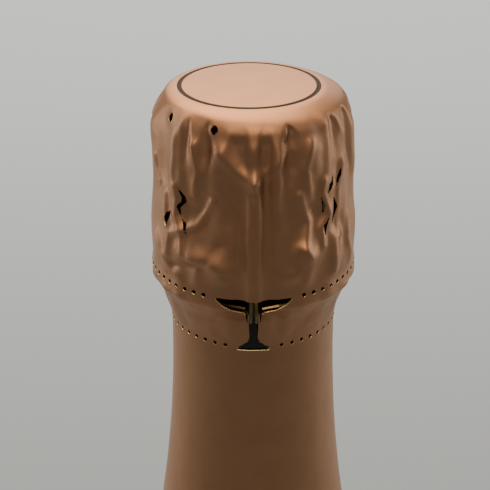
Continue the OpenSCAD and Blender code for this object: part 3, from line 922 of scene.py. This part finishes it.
        # Each burr is an arc under its hole, stood upright and turned to face outwards
        facing = add(tree, "ShaderNodeCombineXYZ", X=math.pi / 2, Z=angle).outputs[0]
        arc_start, arc_sweep = map(math.radians, self.burr_arc)
        arc = add(tree, "GeometryNodeCurveArc", Resolution=9, Radius=given["Hole Radius"],
                  Start_Angle=arc_start, Sweep_Angle=arc_sweep).outputs[0]
        round_wire = add(tree, "GeometryNodeCurvePrimitiveCircle", Resolution=6,
                         Radius=given["Burr Radius"]).outputs[0]
        burr = add(tree, "GeometryNodeCurveToMesh", Curve=arc, Profile_Curve=round_wire,
                   Fill_Caps=True).outputs[0]
        copies = add(tree, "GeometryNodeInstanceOnPoints", Points=points, Instance=burr,
                     Selection=punched, Rotation=facing).outputs[0]
        solid = add(tree, "GeometryNodeRealizeInstances", Geometry=copies).outputs[0]
        dressed = add(tree, "GeometryNodeSetMaterial", Geometry=solid, Material=given["Material"])
        add(tree, "NodeGroupOutput", Geometry=dressed.outputs[0])
        piece = shown(name, bpy.data.meshes.new(name), ())
        stand_off = 0.01
        ring_r = float(self.form.radius_at(depth)) + stand_off
        grow(piece, tree, {"Count": count, "Ring Radius": ring_r * MM,
                           "Height": self.form.top_z - depth * MM, "Plain Angle": math.radians(plain),
                           "Hole Radius": self.perf_r * MM, "Burr Radius": self.burr_r * MM,
                           "Material": self.edge})
        return piece

    def lip(self, name: str, path: Line) -> bpy.types.Object:
        """Rolls the pale lip along a cut edge of the foil.

        Args:
            name: The name of the piece.
            path: The edge, as (millimetres round the bottle, depth).

        Returns:
            The lip as one mesh.
        """
        line, step = np.array(path), 0.25
        run = np.concatenate([[0.0], np.cumsum(np.hypot(*np.diff(line, axis=0).T))])
        at = np.arange(0.0, run[-1], step)
        s, depth = (np.interp(at, run, line[:, k]) for k in (0, 1))
        points = self.form.surface(np.degrees(s / self.form.ref_r), depth, self.form.radius_at(depth))
        mesh = bpy.data.meshes.new(name)
        mesh.from_pydata(points.tolist(), [(i, i + 1) for i in range(len(points) - 1)], [])
        tree = new_tree(name, {"Edge": "NodeSocketGeometry", "Lip Radius": "NodeSocketFloat",
                               "Material": "NodeSocketMaterial"})
        given = add(tree, "NodeGroupInput").outputs
        edge = add(tree, "GeometryNodeMeshToCurve", Mesh=given["Edge"]).outputs[0]
        round_wire = add(tree, "GeometryNodeCurvePrimitiveCircle", Resolution=8,
                         Radius=given["Lip Radius"]).outputs[0]
        tube = add(tree, "GeometryNodeCurveToMesh", Curve=edge, Profile_Curve=round_wire,
                   Fill_Caps=True).outputs[0]
        solid = add(tree, "GeometryNodeRealizeInstances", Geometry=tube).outputs[0]
        dressed = add(tree, "GeometryNodeSetMaterial", Geometry=solid, Material=given["Material"])
        add(tree, "NodeGroupOutput", Geometry=dressed.outputs[0])
        piece = shown(name, mesh, ())
        grow(piece, tree, {"Lip Radius": self.lip_r * MM, "Material": self.edge})
        return piece

    def build(self) -> None:
        """Builds the four foil pieces with their lips and burrs, and puts them on their bodies."""
        form = self.form
        upper = self.perforations(form.upper_mm, self.perf_upper, self.plain_upper)
        lower = self.perforations(form.lower_mm, self.perf_lower, self.plain_lower)
        torn = [Opening(slit(line, width)) for line, width in self.tears]
        vents = [self.round_hole(math.radians(a) * form.ref_r, d, self.vent_r) for a, d in form.vents]
        cup = self.cut_out()
        made = (
            (self.sheet("foil_cap_creased", 0.0, form.upper_mm, self.cap_grid, upper + torn + vents),
             Body.FOIL, "foil_cap"),
            (self.top_disc(), Body.FOIL, "foil_top_disc"),
            (self.sheet("foil_tear_band_perforated", form.upper_mm, form.lower_mm, self.band_grid,
                        upper + lower + [cup]), Body.BOTTLE, "foil_tear_band"),
            (self.sheet("foil_neck_skirt_smooth", form.lower_mm, form.end_mm, self.skirt_grid,
                        lower + [cup]), Body.BOTTLE, "foil_neck_skirt"),
        )
        for piece, body, node in made:
            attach(piece, body.value)
            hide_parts(node)
        half = np.array(self.cup) + (0.0, form.upper_mm)
        bowl, foot = half[slice(*self.bowl_lip)], half[slice(*self.foot_lip)]
        thin = (
            self.lip("foil_lip_right", bowl),
            self.lip("foil_lip_left", bowl * (-1, 1)),
            self.lip("foil_lip_foot", np.concatenate([foot, foot[::-1] * (-1, 1)])),
            self.burrs("foil_burrs_upper", form.upper_mm, self.perf_upper, self.plain_upper),
            self.burrs("foil_burrs_lower", form.lower_mm, self.perf_lower, self.plain_lower),
        )
        for piece in thin:
            self.smooth(piece)
            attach(piece, Body.BOTTLE.value)
        self.pieces = [piece for piece, _, _ in made] + list(thin)
        for piece in self.pieces:
            LOG.info("%s: %d faces", piece.name, len(piece.data.polygons))


@dataclass(frozen=True)
class Lamp:
    """A soft rectangular light: place and size in metres, power in watts, spread in degrees."""

    name: str
    place: tuple[float, float, float]
    size: tuple[float, float]
    power: float
    colour: str = "#ffffff"
    aim: tuple[float, float, float] = FOIL_MIDDLE
    spread: float = 180.0
    floor_only: bool = False

    def hang(self) -> bpy.types.Object:
        """Hangs the light and turns it to what it faces.

        Returns:
            The light's object.
        """
        data = bpy.data.lights.new(self.name, "AREA")
        data.shape = "RECTANGLE"
        data.size, data.size_y = self.size
        data.energy = self.power
        data.spread = math.radians(self.spread)
        data.color = linear(self.colour)[:3]
        lamp = bpy.data.objects.new(self.name, data)
        lamp.location = self.place
        lamp.rotation_euler = (Vector(self.aim) - lamp.location).to_track_quat("-Z", "Y").to_euler()
        bpy.context.collection.objects.link(lamp)
        return lamp


WARM = "#ffdfbf"
LAMPS = (
    Lamp("top_softbox", (-0.15, 0.35, 1.2), (1.2, 1.4), 25.0, WARM),
    Lamp("back_card", (0.0, 1.6, 0.75), (1.6, 0.7), 5.0),
    Lamp("floor_wash", (0.0, 1.5, 1.6), (2.6, 1.6), 26.0, aim=(0.0, 1.2, 0.0), spread=90.0,
         floor_only=True),
    Lamp("front_softbox", (0.0, -0.9, 1.25), (1.0, 0.5), 6.0, WARM),
    Lamp("left_strip", (-1.0, 0.3, 0.45), (0.3, 1.0), 2.4),
    Lamp("right_strip", (1.0, 0.3, 0.45), (0.3, 1.0), 2.4),
)


@dataclass
class Studio:
    """The floor, the soft lights and the camera at the photograph's angle."""

    bottle: Sequence[bpy.types.Object]
    # The camera: metres from what it faces, degrees above it, and focal length in the picture's pixels
    distance: float = 0.2377
    elevation: float = 25.89
    focal_px: float = 1301.0
    frame_px: float = 490.0
    sensor_mm: float = 36.0
    floor_half: float = 6.0
    # The faint even light of the room
    room_colour: str = "#a7a6a4"
    room_strength: float = 0.52

    def camera(self) -> None:
        """Puts the camera where the photograph's outlines say it stood."""
        data = bpy.data.cameras.new("camera")
        data.sensor_width = self.sensor_mm
        data.sensor_fit = "HORIZONTAL"
        data.lens = self.focal_px / self.frame_px * self.sensor_mm
        data.clip_start = 0.01
        camera = bpy.data.objects.new("camera", data)
        up = math.radians(self.elevation)
        target = Vector(FOIL_MIDDLE)
        camera.location = target + self.distance * Vector((0, -math.cos(up), math.sin(up)))
        camera.rotation_euler = (target - camera.location).to_track_quat("-Z", "Y").to_euler()
        bpy.context.collection.objects.link(camera)
        bpy.context.scene.camera = camera

    def floor(self) -> bpy.types.Object:
        """Lays the plain pale floor.

        Returns:
            The floor.
        """
        mesh = bpy.data.meshes.new("floor")
        half = self.floor_half
        mesh.from_pydata([(-half, -half, 0), (half, -half, 0), (half, half, 0), (-half, half, 0)], [],
                         [(0, 1, 2, 3)])
        floor = shown("floor", mesh, (BOARD.make(),))
        return floor

    def room(self) -> None:
        """Fills the room with a faint even light."""
        world = bpy.data.worlds.new("room")
        world.use_nodes = True
        background = world.node_tree.nodes["Background"]
        background.inputs["Color"].default_value = linear(self.room_colour)
        background.inputs["Strength"].default_value = self.room_strength
        bpy.context.scene.world = world

    def build(self) -> None:
        """Sets up the camera, the floor and the lights, which reach the bottle or the floor alone."""
        self.camera()
        ground, lit = (bpy.data.collections.new(name) for name in ("floor_only", "bottle_only"))
        ground.objects.link(self.floor())
        for piece in [*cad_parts.values(), *self.bottle]:
            lit.objects.link(piece)
        for lamp in LAMPS:
            lamp.hang().light_linking.receiver_collection = ground if lamp.floor_only else lit
        self.room()


def dress(finishes: dict[str, bpy.types.Material]) -> None:
    """Gives each CAD node its material.

    Args:
        finishes: Material by node name.
    """
    for name, material in finishes.items():
        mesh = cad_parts[name].data
        mesh.materials.clear()
        mesh.materials.append(material)
        LOG.info("%s: %s", name, material.name)


def main() -> None:
    """Builds the studio, the foil and the finishes of the CAD pieces."""
    logging.basicConfig(level=logging.INFO, format="%(message)s")
    cap, skirt, hook = (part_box(node) for node in ("foil_cap", "foil_neck_skirt", "cage_wire_back"))
    top_z = cap[1][2]
    form = FoilForm(top_z, end_mm=(top_z - skirt[0][2]) / MM, belt_mm=(top_z - hook[0][2]) / MM)
    foil = FoilCapsule(form, FOIL.make(), EDGE.make(), RING_GROOVE_SHADE.make())
    foil.build()
    Studio(foil.pieces).build()
    wire, whole = WIRE_WITH_PAINTED_SHADE.make(), WHOLE_CORK.make()
    finishes = {"glass_bottle": GLASS.make(), "wine": WINE.make(), "cork_body": GRANULES.make(),
                "cork_disc_upper": whole, "cork_disc_lower": whole, "cage_plaque": TINPLATE.make(),
                "cage_belt": wire}
    finishes.update({f"cage_wire_{side}": wire for side in ("front", "right", "back", "left")})
    dress(finishes)


if __name__ == "__main__":
    main()
